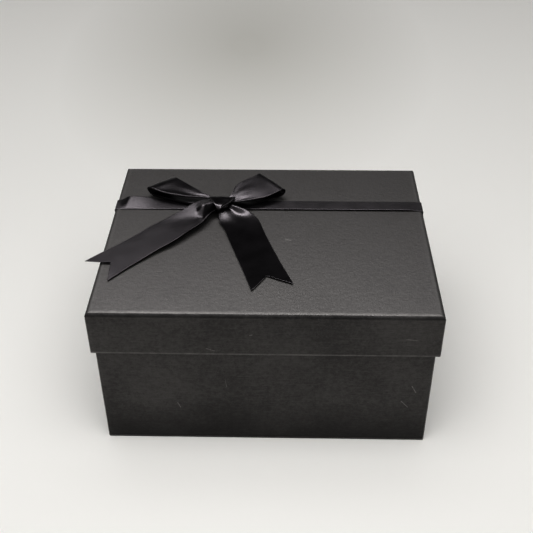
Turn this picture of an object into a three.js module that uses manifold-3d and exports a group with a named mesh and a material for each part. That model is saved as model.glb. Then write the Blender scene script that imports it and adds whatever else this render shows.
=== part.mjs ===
// Rigid gift box with a lift-off lid, a ribbon band across the lid and a tied ribbon bow.
//
// Millimetres, +Z up, +X to the right, -Y towards the front. The origin is the centre of the
// base's underside. The tray and the lid are each one scored greyboard blank whose corners are
// held by stay tape, covered by one sheet of paper that turns in over the rim, and lined.
// Every thickness is a multiple of 1/8 mm, so faces that are glued together meet exactly.

import * as THREE from 'three';
import { mergeVertices } from 'three/addons/utils/BufferGeometryUtils.js';
import Module from 'manifold-3d';

const wasm = await Module();
wasm.setup();

// ---------------------------------------------------------------- driving dimensions

const LID_WIDTH = 220;
const LID_DEPTH = 176;
const LID_SKIRT = 32;          // height of the lid's sides
const BOX_HEIGHT = 111;        // floor to the top of the lid
const LID_OVERHANG = 2.5;      // how far the lid stands out past the base on each side

const BOARD = 1.25;            // greyboard
const PAPER = 0.125;           // covering paper and stay tape
const LINER = 0.25;            // lining paper with its glue
const TURN_IN = 20;            // covering paper turned in over a rim
const LINER_SETBACK = 2;       // bare turn-in left between the rim and the lining
const CORNER_SLIT = 0.125;     // where two walls of a blank meet at a corner
const STAY_LEG = 18;           // width of stay tape on each wall
const STAY_END = 3;            // bare board beyond each end of a stay

const BAND_WIDTH = 12;
const BAND_Y = 35;             // the band runs across the back part of the lid
const RIBBON = 0.25;           // thickness of the band
const BAND_TUCK = 18;          // length of band glued up inside the lid
const TAPE_HEIGHT = 12;        // tape that holds each end of the band
const TAPE_WIDTH = 10;

const BOW_WIDTH = 25.4;        // 1 inch ribbon
const BOW_THICK = 0.5;
const BOW_GAP = 0.3;           // clearance between the bow's plain solids
const KNOT = { x: -33, y: 28, radius: 8, rise: 5.5 };
const GLUE_DOT = { radius: 4, height: 0.5, back: 5 };   // set back, to lie on the band
const TAIL_NOTCH = 12.5;       // depth of the V cut in each tail
const TAIL_STEPS = 18;
const WAIST = { along: 5, half: 3.4 };   // half width of the ribbon where it enters the knot
const LOOP_PINCH = 4;          // how much later a loop's inside opens, per mm of thickness
const LOOP_PINCH_RISE = 0.35;  // where a loop's layers meet, as a part of its height
const FOLD_STEPS = 12;
const SOLID_ROOM = 40;         // more than any height in the bow

const LID_TOP = BOX_HEIGHT;
const LID_RIM = BOX_HEIGHT - LID_SKIRT;
const BASE_RIM = LID_TOP - PAPER - BOARD - LINER;   // the lid's lining rests on the base's rim
const LID_LINING_FACE = LID_WIDTH / 2 - PAPER - BOARD - LINER;
const BASE_WIDTH = LID_WIDTH - 2 * LID_OVERHANG;
const BASE_DEPTH = LID_DEPTH - 2 * LID_OVERHANG;
const BAND_TOP = LID_TOP + RIBBON;

// ---------------------------------------------------------------- materials

function material(color, roughness, metalness = 0) {
  return new THREE.MeshStandardMaterial({ color, roughness, metalness });
}

const LOOKS = {
  cover: () => material(0x2b2a29, 0.72),
  greyboard: () => material(0x8f8a80, 0.95),
  stay: () => material(0xb09a78, 0.85),
  lining: () => material(0x1d1d1d, 0.85),
  satin: () => material(0x17161b, 0.38),
  tape: () => material(0xd8d4c8, 0.6),
  glue: () => material(0xe6dcc0, 0.4),
};

// ---------------------------------------------------------------- solids

function solidOf(geometry) {
  const bare = geometry.clone();
  bare.deleteAttribute('normal');
  bare.deleteAttribute('uv');
  const merged = mergeVertices(bare);
  return new wasm.Manifold(new wasm.Mesh({
    numProp: 3,
    vertProperties: new Float32Array(merged.attributes.position.array),
    triVerts: new Uint32Array(merged.index.array),
  }));
}

function geometryOf(solid) {
  const mesh = solid.getMesh();
  const geometry = new THREE.BufferGeometry();
  geometry.setAttribute('position', new THREE.BufferAttribute(new Float32Array(mesh.vertProperties), 3));
  geometry.setIndex(new THREE.BufferAttribute(new Uint32Array(mesh.triVerts), 1));
  geometry.computeVertexNormals();
  return geometry;
}

function boxGeometry(low, high) {
  const size = high.map((value, axis) => value - low[axis]);
  const centre = high.map((value, axis) => (value + low[axis]) / 2);
  return new THREE.BoxGeometry(...size).translate(...centre);
}

function box(low, high) {
  return solidOf(boxGeometry(low, high));
}

// A box centred on the Z axis, from zLow to zHigh.
function block(width, depth, zLow, zHigh) {
  return box([-width / 2, -depth / 2, zLow], [width / 2, depth / 2, zHigh]);
}

function subtractAll(solid, cutters) {
  return cutters.reduce((rest, cutter) => rest.subtract(cutter), solid);
}

// ---------------------------------------------------------------- a tray of board, paper and lining

// A tray stands on its closed side: open upwards for the base, and turned over for the lid.
// `outer` is the tray's covered size and `height` the distance from closed face to rim.
function trayParts(outer, height) {
  const boardWidth = outer.width - 2 * PAPER;
  const boardDepth = outer.depth - 2 * PAPER;
  const innerWidth = boardWidth - 2 * BOARD;
  const innerDepth = boardDepth - 2 * BOARD;
  const boardFloor = PAPER + BOARD;
  const boardRim = height - PAPER;
  const above = height + 1;

  const cavity = block(innerWidth, innerDepth, boardFloor, above);
  const blank = block(boardWidth, boardDepth, PAPER, boardRim).subtract(cavity);
  const stays = cornerStays(boardWidth, boardDepth, boardFloor + STAY_END, boardRim - STAY_END);
  const slits = cornerSlits(boardWidth, innerWidth, innerDepth, boardFloor, above);
  const board = subtractAll(blank, [...Object.values(stays), ...slits]);

  const turnInDepth = height - TURN_IN;
  const belowTurnIn = block(innerWidth, innerDepth, boardFloor, turnInDepth);
  const mouth = block(innerWidth - 2 * PAPER, innerDepth - 2 * PAPER, turnInDepth, above);
  const cover = subtractAll(block(outer.width, outer.depth, 0, height), [blank, belowTurnIn, mouth]);

  const liningInside = block(innerWidth - 2 * LINER, innerDepth - 2 * LINER, boardFloor + LINER, above);
  const lining = subtractAll(
    block(innerWidth, innerDepth, boardFloor, height - LINER_SETBACK), [liningInside, cover]);

  return { board, stays, cover, lining };
}

// L-shaped paper tape pressed into the outside of each corner of the blank.
function cornerStays(width, depth, zLow, zHigh) {
  const tube = block(width, depth, zLow, zHigh)
    .subtract(block(width - 2 * PAPER, depth - 2 * PAPER, zLow - 1, zHigh + 1));
  const corner = (sideX, sideY) => {
    const x = [sideX * width / 2, sideX * (width / 2 - STAY_LEG)].sort((a, b) => a - b);
    const y = [sideY * depth / 2, sideY * (depth / 2 - STAY_LEG)].sort((a, b) => a - b);
    return tube.intersect(box([x[0], y[0], zLow], [x[1], y[1], zHigh]));
  };
  return {
    front_left: corner(-1, -1),
    front_right: corner(1, -1),
    back_left: corner(-1, 1),
    back_right: corner(1, 1),
  };
}

// The four walls of the blank fold up from its floor and only meet at the corners.
function cornerSlits(boardWidth, innerWidth, innerDepth, zLow, zHigh) {
  const slits = [];
  for (const sideX of [-1, 1]) {
    for (const sideY of [-1, 1]) {
      const x = [sideX * innerWidth / 2, sideX * boardWidth / 2].sort((a, b) => a - b);
      const y = [sideY * innerDepth / 2, sideY * (innerDepth / 2 - CORNER_SLIT)].sort((a, b) => a - b);
      slits.push(box([x[0], y[0], zLow], [x[1], y[1], zHigh]));
    }
  }
  return slits;
}

// Turns a tray over about the X axis, so that its closed face is at `top`.
function overturned(solid, top) {
  const geometry = geometryOf(solid);
  const position = geometry.attributes.position;
  for (let i = 0; i < position.count; i += 1) {
    position.setXYZ(i, position.getX(i), -position.getY(i), top - position.getZ(i));
  }
  geometry.computeVertexNormals();
  return geometry;
}

// ---------------------------------------------------------------- ribbon

// The band lies over the lid, down both sides, under the rim and up inside.
function bandGeometry() {
  const outside = LID_WIDTH / 2;
  const tucked = LID_LINING_FACE - PAPER;             // tape lies between the lining and the band
  const half = [
    [outside, LID_TOP], [outside, LID_RIM], [tucked, LID_RIM], [tucked, LID_RIM + BAND_TUCK],
    [tucked - RIBBON, LID_RIM + BAND_TUCK], [tucked - RIBBON, LID_RIM - RIBBON],
    [outside + RIBBON, LID_RIM - RIBBON], [outside + RIBBON, LID_TOP + RIBBON],
  ];
  const mirrored = half.map(([x, z]) => [-x, z]).reverse();
  const outline = new THREE.Shape([...half, ...mirrored].map(([x, z]) => new THREE.Vector2(x, z)));
  const geometry = new THREE.ExtrudeGeometry(outline, { depth: BAND_WIDTH, bevelEnabled: false });
  geometry.rotateX(Math.PI / 2);
  snap(geometry);
  return geometry.translate(0, BAND_Y + BAND_WIDTH / 2, 0);
}

// Rounds coordinates back to 1/8 mm after a quarter turn.
function snap(geometry) {
  const values = geometry.attributes.position.array;
  for (let i = 0; i < values.length; i += 1) {
    values[i] = Math.round(values[i] * 8) / 8;
  }
}

// A pad of tape between the lid's lining and the tucked end of the band.
function bandTapeGeometry(side) {
  const x = [side * LID_LINING_FACE, side * (LID_LINING_FACE - PAPER)].sort((a, b) => a - b);
  const zLow = LID_RIM + BAND_TUCK - TAPE_HEIGHT - 1;
  return boxGeometry(
    [x[0], BAND_Y - TAPE_WIDTH / 2, zLow], [x[1], BAND_Y + TAPE_WIDTH / 2, zLow + TAPE_HEIGHT]);
}

// ---------------------------------------------------------------- bow

// Bow pieces are made around the knot, with X along the piece, Y across it and Z up from the band.

// The knot is a low dome that sits flat on its dot of glue.
function knotSolid(grow = 0) {
  const radius = KNOT.radius + grow;
  const dome = new THREE.SphereGeometry(1, 28, 16)
    .scale(radius, radius, KNOT.rise + grow)
    .translate(0, 0, KNOT.rise);
  const below = block(4 * radius, 4 * radius, -SOLID_ROOM, GLUE_DOT.height - grow);
  return solidOf(dome).subtract(below);
}

function glueDotGeometry() {
  const { radius, height, back } = GLUE_DOT;
  return new THREE.CylinderGeometry(radius, radius, height, 24)
    .rotateX(Math.PI / 2)
    .translate(0, back, height / 2);
}

function shapeOf(pairs) {
  return new THREE.Shape(pairs.map(([x, y]) => new THREE.Vector2(x, y)));
}

// A piece of ribbon from its side view (along, up) and its plan (along, across).
function ribbonSolid(side, plan) {
  const room = 2 * SOLID_ROOM;
  const band = new THREE.ExtrudeGeometry(side, { depth: room, bevelEnabled: false })
    .translate(0, 0, -room / 2)
    .rotateX(Math.PI / 2);
  const sheet = new THREE.ExtrudeGeometry(plan, { depth: room, bevelEnabled: false })
    .translate(0, 0, -room / 2);
  return solidOf(band).intersect(solidOf(sheet)).subtract(knotSolid(BOW_GAP));
}

// A strip of even thickness that follows a smooth line through the given (along, up) points.
function stripShape(line, steps) {
  const curve = new THREE.SplineCurve(line.map(([s, z]) => new THREE.Vector2(s, z)));
  const upper = [];
  const lower = [];
  for (let i = 0; i <= steps; i += 1) {
    const point = curve.getPointAt(i / steps);
    const along = curve.getTangentAt(i / steps);
    const normal = new THREE.Vector2(-along.y, along.x).multiplyScalar(BOW_THICK / 2);
    upper.push(point.clone().add(normal));
    lower.unshift(point.clone().sub(normal));
  }
  return new THREE.Shape([...upper, ...lower]);
}

// The outline of a loop seen from its side, drawn `inset` inside its outer face: two straight
// layers that leave one point at the knot and meet in a round fold.
function loopOutline(length, height, inset) {
  const rest = BOW_GAP + RIBBON;
  const pinch = new THREE.Vector2(LOOP_PINCH * inset, rest + LOOP_PINCH_RISE * height);
  const points = [pinch];
  for (let i = 0; i <= FOLD_STEPS; i += 1) {
    const turn = Math.PI * (i / FOLD_STEPS - 0.5);
    const radius = height / 2 - inset;
    points.push(new THREE.Vector2(
      length - height / 2 + radius * Math.cos(turn), rest + height / 2 + radius * Math.sin(turn)));
  }
  return points;
}

// A loop of the bow. Its fold is square to X but stands `offset` to one side of the knot.
function loopSolid({ length, height, offset }) {
  const side = new THREE.Shape(loopOutline(length, height, 0));
  side.holes.push(new THREE.Path(loopOutline(length, height, BOW_THICK)));
  const half = BOW_WIDTH / 2;
  const past = length + 1;
  const plan = shapeOf([
    [WAIST.along, -WAIST.half], [past, offset - half], [past, offset + half],
    [WAIST.along, WAIST.half],
  ]);
  return ribbonSolid(side, plan);
}

// A tail widens from the knot to its full width at `spread` and ends in a swallow-tail cut.
function tailSolid({ length, spread, line }) {
  const half = BOW_WIDTH / 2;
  const plan = shapeOf([
    [WAIST.along, -WAIST.half], [spread, -half], [length, -half], [length - TAIL_NOTCH, 0],
    [length, half], [spread, half], [WAIST.along, WAIST.half],
  ]);
  return ribbonSolid(stripShape(line, TAIL_STEPS), plan);
}

// Each piece of the bow, pointing away from the knot at its own angle on the lid.
const BOW = {
  bow_left_loop: { turn: 136, solid: () => loopSolid({ length: 53, height: 8.5, offset: 12 }) },
  bow_right_loop: { turn: 44, solid: () => loopSolid({ length: 44, height: 10, offset: -5 }) },
  bow_left_tail: {
    turn: 225,
    solid: () => tailSolid({
      length: 107.5, spread: 36, line: [[4, 4], [14, 6.5], [40, 4.5], [75, 2.6], [112, 2]],
    }),
  },
  bow_right_tail: {
    turn: -68,
    solid: () => tailSolid({
      length: 97, spread: 24, line: [[4, 4], [12, 5], [35, 2.6], [65, 1.5], [102, 1.2]],
    }),
  },
};

// ---------------------------------------------------------------- assembly

function named(name, geometry, look) {
  const mesh = new THREE.Mesh(geometry, look());
  mesh.name = name;
  return mesh;
}

function baseGroup() {
  const group = new THREE.Group();
  const parts = trayParts({ width: BASE_WIDTH, depth: BASE_DEPTH }, BASE_RIM);
  group.add(named('base_board', geometryOf(parts.board), LOOKS.greyboard));
  for (const [corner, stay] of Object.entries(parts.stays)) {
    group.add(named(`base_stay_${corner}`, geometryOf(stay), LOOKS.stay));
  }
  group.add(named('base_wrap', geometryOf(parts.cover), LOOKS.cover));
  group.add(named('base_liner', geometryOf(parts.lining), LOOKS.lining));
  return group;
}

function lidGroup() {
  const group = new THREE.Group();
  const parts = trayParts({ width: LID_WIDTH, depth: LID_DEPTH }, LID_SKIRT);
  group.add(named('lid_board', overturned(parts.board, LID_TOP), LOOKS.greyboard));
  for (const [corner, stay] of Object.entries(parts.stays)) {
    const [end, hand] = corner.split('_');
    const place = end === 'front' ? 'back' : 'front';   // turning over swaps front and back
    group.add(named(`lid_stay_${place}_${hand}`, overturned(stay, LID_TOP), LOOKS.stay));
  }
  group.add(named('lid_wrap', overturned(parts.cover, LID_TOP), LOOKS.cover));
  group.add(named('lid_liner', overturned(parts.lining, LID_TOP), LOOKS.lining));
  return group;
}

function bandGroup() {
  const group = new THREE.Group();
  group.add(named('ribbon_band', bandGeometry(), LOOKS.satin));
  group.add(named('band_tape_left', bandTapeGeometry(-1), LOOKS.tape));
  group.add(named('band_tape_right', bandTapeGeometry(1), LOOKS.tape));
  return group;
}

function bowGroup() {
  const group = new THREE.Group();
  group.position.set(KNOT.x, KNOT.y, BAND_TOP);
  group.add(named('bow_glue_dot', glueDotGeometry(), LOOKS.glue));
  group.add(named('bow_knot', geometryOf(knotSolid()), LOOKS.satin));
  for (const [name, piece] of Object.entries(BOW)) {
    const mesh = named(name, geometryOf(piece.solid()), LOOKS.satin);
    mesh.rotation.z = THREE.MathUtils.degToRad(piece.turn);
    group.add(mesh);
  }
  return group;
}

const giftBox = new THREE.Group();
giftBox.add(baseGroup(), lidGroup(), bandGroup(), bowGroup());

export default giftBox;
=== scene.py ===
"""A rigid gift box with a lift-off lid, a ribbon band and a tied satin bow, finished around its
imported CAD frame. Lengths here are millimetres until they are put into a mesh; +Z is up and -Y is
the front. The bow's rails are given from the knot's centre, with heights above the lid."""

import math

import bmesh
import bpy
import numpy as np
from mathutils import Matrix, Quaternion, Vector


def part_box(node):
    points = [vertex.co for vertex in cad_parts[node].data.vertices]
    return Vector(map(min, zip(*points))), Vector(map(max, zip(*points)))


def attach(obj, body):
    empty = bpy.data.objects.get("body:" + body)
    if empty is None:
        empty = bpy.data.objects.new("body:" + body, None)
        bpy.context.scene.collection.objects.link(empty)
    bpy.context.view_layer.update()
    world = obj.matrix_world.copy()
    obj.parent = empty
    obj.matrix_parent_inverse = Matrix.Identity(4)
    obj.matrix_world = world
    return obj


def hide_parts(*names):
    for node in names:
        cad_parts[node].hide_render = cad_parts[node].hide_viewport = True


MM = 0.001

# ------------------------------------------------------------------ driving dimensions

EDGE_RADIUS = 0.8  # the covering paper's radius round the upright corners
FOLD_RADIUS = {"base": 0.8, "lid": 2.6}  # and over the edges of the closed side
FOLD_PAINTED_LIGHT = [  # painted highlight (above 0, partly rubbing too) and painted shade (below 0) across the lid's fold: -1 is where it starts on the top, 1 where it ends
    (-1.75, 0.0), (-1.45, 0.5), (-1.15, 1.0), (-0.95, 0.9), (-0.72, 0.0), (-0.5, -0.9),
    (0.5, -1.0), (0.75, 0.0),
]
SIDE_HIGHLIGHT_SHARE = 0.15  # the part of the fold's painted highlight and rubbing that the lid's back and sides have
CURVE_REACH = 2.0  # curves further than this from the outside of a tray aren't rubbed
CORNER_REACH = 0.3  # nor upright corners further than this
RIM_RADIUS = 0.7
RIM_STRIP_HEIGHT = 0.5  # height of the strip along each rim that is rubbed and lightened as a painted highlight
RIM_RUB_AND_HIGHLIGHT = 0.6  # and how much it is lightened, as rubbing and as a painted highlight
PRESS = (2.7, 2.8, 3.1, 3.9)  # heights of the groove pressed along the walls, below the fold
PRESS_DEPTH = 0.1
OUTSIDE = 0.11  # insets below this are on the outside of the covering paper
TURN_IN = 20.0  # covering paper turned in over each rim
LINING_SETBACK = 2.0
SEAM_INSET = 2.1  # from a box corner to the edge of the front or back paper
SEAM_STEP = 0.1  # that paper lies on the side paper's flap
SEAM_WIDTH = 0.12  # and steps down to it over this width
WALL_BOW = 0.25  # how far the middle of a long wall stands out of true
SHORT_WALL_BOW = 0.8  # and a short wall, as a part of that
WALL_DEPTH = 3.0  # what lies this near the outside bows with the wall
COVER_MIDDLE = 0.6  # half width of the strip that closes a sheet in the middle of its face
BOARD_MIDDLE = 3.0
LINING_MIDDLE = 5.0
BOARD_CORNER = 0.3  # radii in the trays' inside corners
LINING_CORNERS = (0.25, 0.5)
STAY_SHARE = 0.8  # thickness of a stay, as a part of the covering paper's

BAND_BEND = 0.8  # radius of the band over the lid's edges
BAND_TURN = 0.5  # and under its rims
BAND_SHARE = 0.9  # thickness of the band, as a part of its CAD thickness
BAND_CROWN = 0.2  # how much higher the band's middle is than its edges
BAND_SLACK = [  # along the lid, how far the band's front and back edges stand off it
    (-109, 0.2, 1.6), (-101, 0.3, 3.5), (-91, 0.3, 3.2), (-79, 0.6, 1.1), (-60, 0.8, 0.8),
    (-33, 0.8, 0.9), (10, 1.1, 0.4), (70, 1.1, 0.2), (98, 1.1, 0.2), (109, 0.7, 0.1),
]

BOW_WIDTH = 25.4  # 1 inch satin ribbon
BOW_THICK = 0.32
SELVEDGE = 0.9  # width of the firmer woven edge
SELVEDGE_SWELL = 0.35  # how much thicker it is
RIPPLE = 0.04  # height of the ribbon's fine unevenness
TUCK_RADIUS = 0.5  # where a gathered ribbon is folded under along one edge
NOTCH = 12.5  # depth of the swallow-tail cut
KNOT_REACH = 5.8  # radius of the knot's inner turns
KNOT_HEIGHT = 7.2

SIDE_X = 46  # mesh steps along a long wall
SIDE_Y = 36  # and along a short one
CORNER = 6  # points round an upright corner
ARC_STEPS = 8  # steps round a curve of a profile
LONGEST_FLAT = 7.0  # longest step along a profile's flats
FOLD_STEPS = 7  # heights given across a ribbon at each of its stations
FINE_STEPS = 600  # samples along a ribbon before its own mesh is laid out
BOW_COLUMNS = 61  # samples across a ribbon of the bow
BOW_MESH_COLUMNS = 91  # and after its spare width is tucked under
NEAR = 0.01  # two lengths closer than this are the same


# ------------------------------------------------------------------ curves and meshes


def smooth(value):
    """0 to 1 with a soft start and end."""
    value = np.clip(value, 0.0, 1.0)
    return value * value * (3.0 - 2.0 * value)


def spline(knots, values, at):
    """The natural cubic curve through values given at the knots, along the first axis."""
    values = np.asarray(values, float)
    count = len(knots)
    gap = np.diff(knots)
    system = np.eye(count)
    turn = np.zeros_like(values)
    for i in range(1, count - 1):
        system[i, i - 1 : i + 2] = gap[i - 1], 2 * (gap[i - 1] + gap[i]), gap[i]
        after = (values[i + 1] - values[i]) / gap[i]
        turn[i] = 6 * (after - (values[i] - values[i - 1]) / gap[i - 1])
    curl = np.linalg.solve(system, turn.reshape(count, -1)).reshape(values.shape)
    span = np.clip(np.searchsorted(knots, at, side="right") - 1, 0, count - 2)
    shape = at.shape + (1,) * (values.ndim - 1)
    width = gap[span].reshape(shape)
    t = (at - knots[span]).reshape(shape) / width
    bend = (t**3 - t) * curl[span + 1] + ((1 - t) ** 3 - (1 - t)) * curl[span]
    return t * values[span + 1] + (1 - t) * values[span] + bend * width**2 / 6


def unit(vectors):
    return vectors / np.maximum(np.linalg.norm(vectors, axis=-1, keepdims=True), 1e-9)


def linked(name, data):
    """A new object in the scene."""
    piece = bpy.data.objects.new(name, data)
    bpy.context.scene.collection.objects.link(piece)
    return piece


def mesh_object(name, points, faces, material, uv=None, edge=None):
    """A mesh piece. points are in millimetres; uv and edge are given for each vertex, edge being
    rubbing with painted highlight and shade.
    """
    mesh = bpy.data.meshes.new(name)
    mesh.from_pydata((np.asarray(points) * MM).tolist(), [], faces)
    work = bmesh.new()
    work.from_mesh(mesh)
    bmesh.ops.recalc_face_normals(work, faces=work.faces)
    work.to_mesh(mesh)
    work.free()
    mesh.shade_smooth()
    corner_vertex = np.zeros(len(mesh.loops), np.int32)
    mesh.loops.foreach_get("vertex_index", corner_vertex)
    if uv is not None:
        layer = mesh.uv_layers.new(name="along")
        layer.data.foreach_set("uv", np.asarray(uv, np.float32)[corner_vertex].ravel())
    if edge is not None:
        wear_and_painted_light = mesh.attributes.new("wear_and_painted_light", "FLOAT", "POINT")
        wear_and_painted_light.data.foreach_set("value", np.asarray(edge, np.float32))
    mesh.materials.append(material)
    mesh.validate()
    return linked(name, mesh)


def ring_faces(rings, size, closed_ends):
    """Quads between consecutive rings of `size` points, and a cap on each end if asked."""
    faces = []
    for i in range(rings - 1):
        for j in range(size):
            k = (j + 1) % size
            faces.append((i * size + j, i * size + k, (i + 1) * size + k, (i + 1) * size + j))
    if closed_ends:
        faces.append(tuple(reversed(range(size))))
        faces.append(tuple(range((rings - 1) * size, rings * size)))
    return faces


# ------------------------------------------------------------------ material helpers


class Nodes:
    """The node tree of a material or a world, with short calls to add and link nodes."""

    def __init__(self, owner):
        self.owner = owner
        owner.use_nodes = True
        self.tree = owner.node_tree
        self.tree.nodes.clear()

    def add(self, kind, inputs=None, **settings):
        node = self.tree.nodes.new("ShaderNode" + kind)
        for key, value in settings.items():
            setattr(node, key, value)
        for key, value in (inputs or {}).items():
            self.put(node, key, value)
        return node

    def put(self, node, key, value):
        """Sets an input, or links it if the value is another node's output."""
        socket = node.inputs[key]
        if isinstance(value, bpy.types.NodeSocket):
            self.tree.links.new(value, socket)
        else:
            socket.default_value = value

    def position(self):
        return self.add("TexCoord").outputs["Object"]

    def stretched(self, vector, scale):
        node = self.add("Mapping", {"Vector": vector, "Scale": scale})
        return node.outputs["Vector"]

    def noise(self, vector, scale, detail=3.0, rough=0.5):
        inputs = {"Vector": vector, "Scale": scale, "Detail": detail, "Roughness": rough}
        return self.add("TexNoise", inputs).outputs["Fac"]

    def math(self, operation, a, b=0.0, clamp=False):
        node = self.add("Math", {0: a, 1: b}, operation=operation, use_clamp=clamp)
        return node.outputs["Value"]

    def vector(self, operation, a, b=None):
        inputs = {0: a} if b is None else {0: a, 1: b}
        node = self.add("VectorMath", inputs, operation=operation)
        scalar = operation in ("LENGTH", "DOT_PRODUCT")
        return node.outputs["Value" if scalar else "Vector"]

    def remap(self, value, low, high, to_low=0.0, to_high=1.0):
        inputs = {
            "Value": value,
            "From Min": low,
            "From Max": high,
            "To Min": to_low,
            "To Max": to_high,
        }
        return self.add("MapRange", inputs).outputs["Result"]

    def mix(self, factor, a, b):
        """Colour a where the factor is 0, b where it is 1."""
        node = self.add("Mix", data_type="RGBA")
        for index, value in ((0, factor), (6, a), (7, b)):
            self.put(node, index, value)
        return node.outputs[2]

    def bump(self, height, strength, distance, normal=None):
        node = self.add("Bump", {"Height": height, "Strength": strength, "Distance": distance})
        if normal is not None:
            self.put(node, "Normal", normal)
        return node.outputs["Normal"]

    def finish(self, inputs):
        """Ends a material's tree with a shader that has these inputs, and gives the material."""
        shader = self.add("BsdfPrincipled", inputs)
        self.add("OutputMaterial", {"Surface": shader.outputs["BSDF"]})
        return self.owner


def material_nodes(name):
    return Nodes(bpy.data.materials.new(name))


def rgb(red, green, blue):
    return (red, green, blue, 1.0)


# ------------------------------------------------------------------ materials


SCUFFS = [  # light marks on the covering paper: two ends and a half width
    ((-25.9, -85.5, 56.0), (-25.1, -85.5, 48.5), 0.32),
    ((-58.0, -85.5, 33.5), (-56.4, -85.5, 29.5), 0.36),
    ((95.0, -85.5, 51.3), (98.0, -85.5, 45.5), 0.34),
    ((89.3, -85.5, 37.4), (93.8, -85.5, 32.0), 0.34),
    ((-9.2, -88.0, 95.6), (-7.8, -88.0, 96.0), 0.42),
    ((-36.5, -88.0, 84.5), (-31.5, -88.0, 82.5), 0.45),
    ((87.0, -88.0, 93.6), (94.5, -88.0, 92.8), 0.3),
    ((12.4, -7.0, 111.0), (16.0, -7.8, 111.0), 0.4),
    ((8.6, -86.2, 111.0), (10.4, -84.6, 111.0), 0.55),
    ((-45.0, -87.0, 111.0), (-41.5, -86.8, 111.0), 0.5),
]


def scuffs(n, where):
    """1 on the short scuffs, fading to 0 at their edges."""
    total = None
    for start, end, reach in SCUFFS:
        start, run = Vector(start) * MM, (Vector(end) - Vector(start)) * MM
        away = n.vector("SUBTRACT", where, start)
        along = n.math("DIVIDE", n.vector("DOT_PRODUCT", away, run), run.length_squared, True)
        scaled = n.add("VectorMath", {0: run, "Scale": along}, operation="SCALE").outputs["Vector"]
        gap = n.vector("LENGTH", n.vector("SUBTRACT", away, scaled))
        mark = n.remap(gap, 1.2 * reach * MM, 0.1 * reach * MM)
        total = mark if total is None else n.math("MAXIMUM", total, mark)
    patchy = n.remap(n.noise(where, 900.0, 2.0, 0.6), 0.35, 0.55, 0.35, 1.0)
    return n.math("MULTIPLY", total, patchy)


PAPER_DARK = rgb(0.0125, 0.0119, 0.0113)
PAPER_LIGHT = rgb(0.039, 0.0372, 0.0355)
PAPER_FOOT_SHADE = rgb(0.006, 0.0058, 0.0056)  # painted shade: where the paper is darkest, just above the floor
# lighter paper where it is rubbed, also used as a painted highlight along the lid's fold and rims
PAPER_RUB_AND_HIGHLIGHT = rgb(0.24, 0.232, 0.223)
# painted shade along the lid's fold
PAPER_FOLD_SHADE = rgb(0.001, 0.001, 0.001)


def paper_fibre(n, where):
    """Short fibres along the paper's two directions."""
    fibre_x = n.noise(n.stretched(where, (130.0, 900.0, 900.0)), 1.0, 3.0, 0.6)
    fibre_y = n.noise(n.stretched(where, (900.0, 130.0, 900.0)), 1.0, 3.0, 0.6)
    return n.math("MAXIMUM", fibre_x, fibre_y)


def cover_paper():
    """Matt black covering paper: fibre mottle, scuffs, rubbed edges, a painted highlight and
    painted shade along the lid's fold, and painted shade at the foot of the walls.
    """
    n = material_nodes("cover_paper")
    where = n.position()
    cloud = n.noise(where, 20.0, 5.0, 0.6)
    mottle = n.noise(where, 330.0, 5.0, 0.7)
    fibre = paper_fibre(n, where)
    tone = n.math("ADD", n.remap(cloud, 0.3, 0.7, -0.9, 0.9), n.remap(mottle, 0.3, 0.7, -0.9, 0.9))
    tone = n.math("ADD", tone, n.remap(fibre, 0.45, 0.75, -0.7, 0.8))
    base = n.mix(n.remap(tone, -1.2, 1.2), PAPER_DARK, PAPER_LIGHT)
    height = n.add("SeparateXYZ", {"Vector": where}).outputs["Z"]
    clear_of_foot_shade = n.math("ADD", height, n.math("MULTIPLY", cloud, 0.02))
    clear_of_foot_shade = n.remap(clear_of_foot_shade, 0.014, 0.048, 0.1, 1.0)  # painted shade: 0.1 at the foot of the walls, 1 higher up
    base = n.mix(clear_of_foot_shade, PAPER_FOOT_SHADE, base)
    # above 0: rubbing, with a painted highlight along the lid's fold and rims; below 0: painted
    # shade along the fold
    wear_and_painted_light = n.add("Attribute", attribute_name="wear_and_painted_light").outputs["Fac"]
    patchy = n.noise(where, 140.0, 4.0, 0.7)
    rub_and_highlight = n.math("MULTIPLY", wear_and_painted_light, n.remap(patchy, 0.3, 0.65, 0.25, 1.0), True)
    rub_and_highlight = n.math("MAXIMUM", n.math("MULTIPLY", rub_and_highlight, 0.75), scuffs(n, where))
    # painted shade along the lid's fold
    fold_shade = n.math("MULTIPLY", wear_and_painted_light, n.remap(patchy, 0.3, 0.6, -0.75, -1.0), True)
    color = n.mix(n.math("MULTIPLY", rub_and_highlight, 0.9), base, PAPER_RUB_AND_HIGHLIGHT)
    color = n.mix(n.math("MULTIPLY", fold_shade, 0.96), color, PAPER_FOLD_SHADE)
    rough = n.math("ADD", n.remap(tone, -1.2, 1.2, 0.58, 0.42), n.math("MULTIPLY", fold_shade, 0.4))
    grain = n.bump(fibre, 0.5, 0.00012)
    return n.finish({
        "Base Color": color,
        "Roughness": rough,
        "Normal": n.bump(mottle, 0.6, 0.00034, grain),
        "Specular IOR Level": n.remap(clear_of_foot_shade, 0.1, 1.0, 0.27, 0.45),
        "Specular Tint": rgb(1.0, 0.955, 0.945),
    })


def lining_paper():
    """Uncoated black lining paper."""
    n = material_nodes("lining_paper")
    where = n.position()
    mottle = n.noise(where, 420.0, 4.0, 0.6)
    color = n.mix(n.remap(mottle, 0.3, 0.7), rgb(0.014, 0.014, 0.014), rgb(0.03, 0.029, 0.028))
    normal = n.bump(mottle, 0.3, 0.0001)
    return n.finish({"Base Color": color, "Roughness": 0.8, "Normal": normal})


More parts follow.
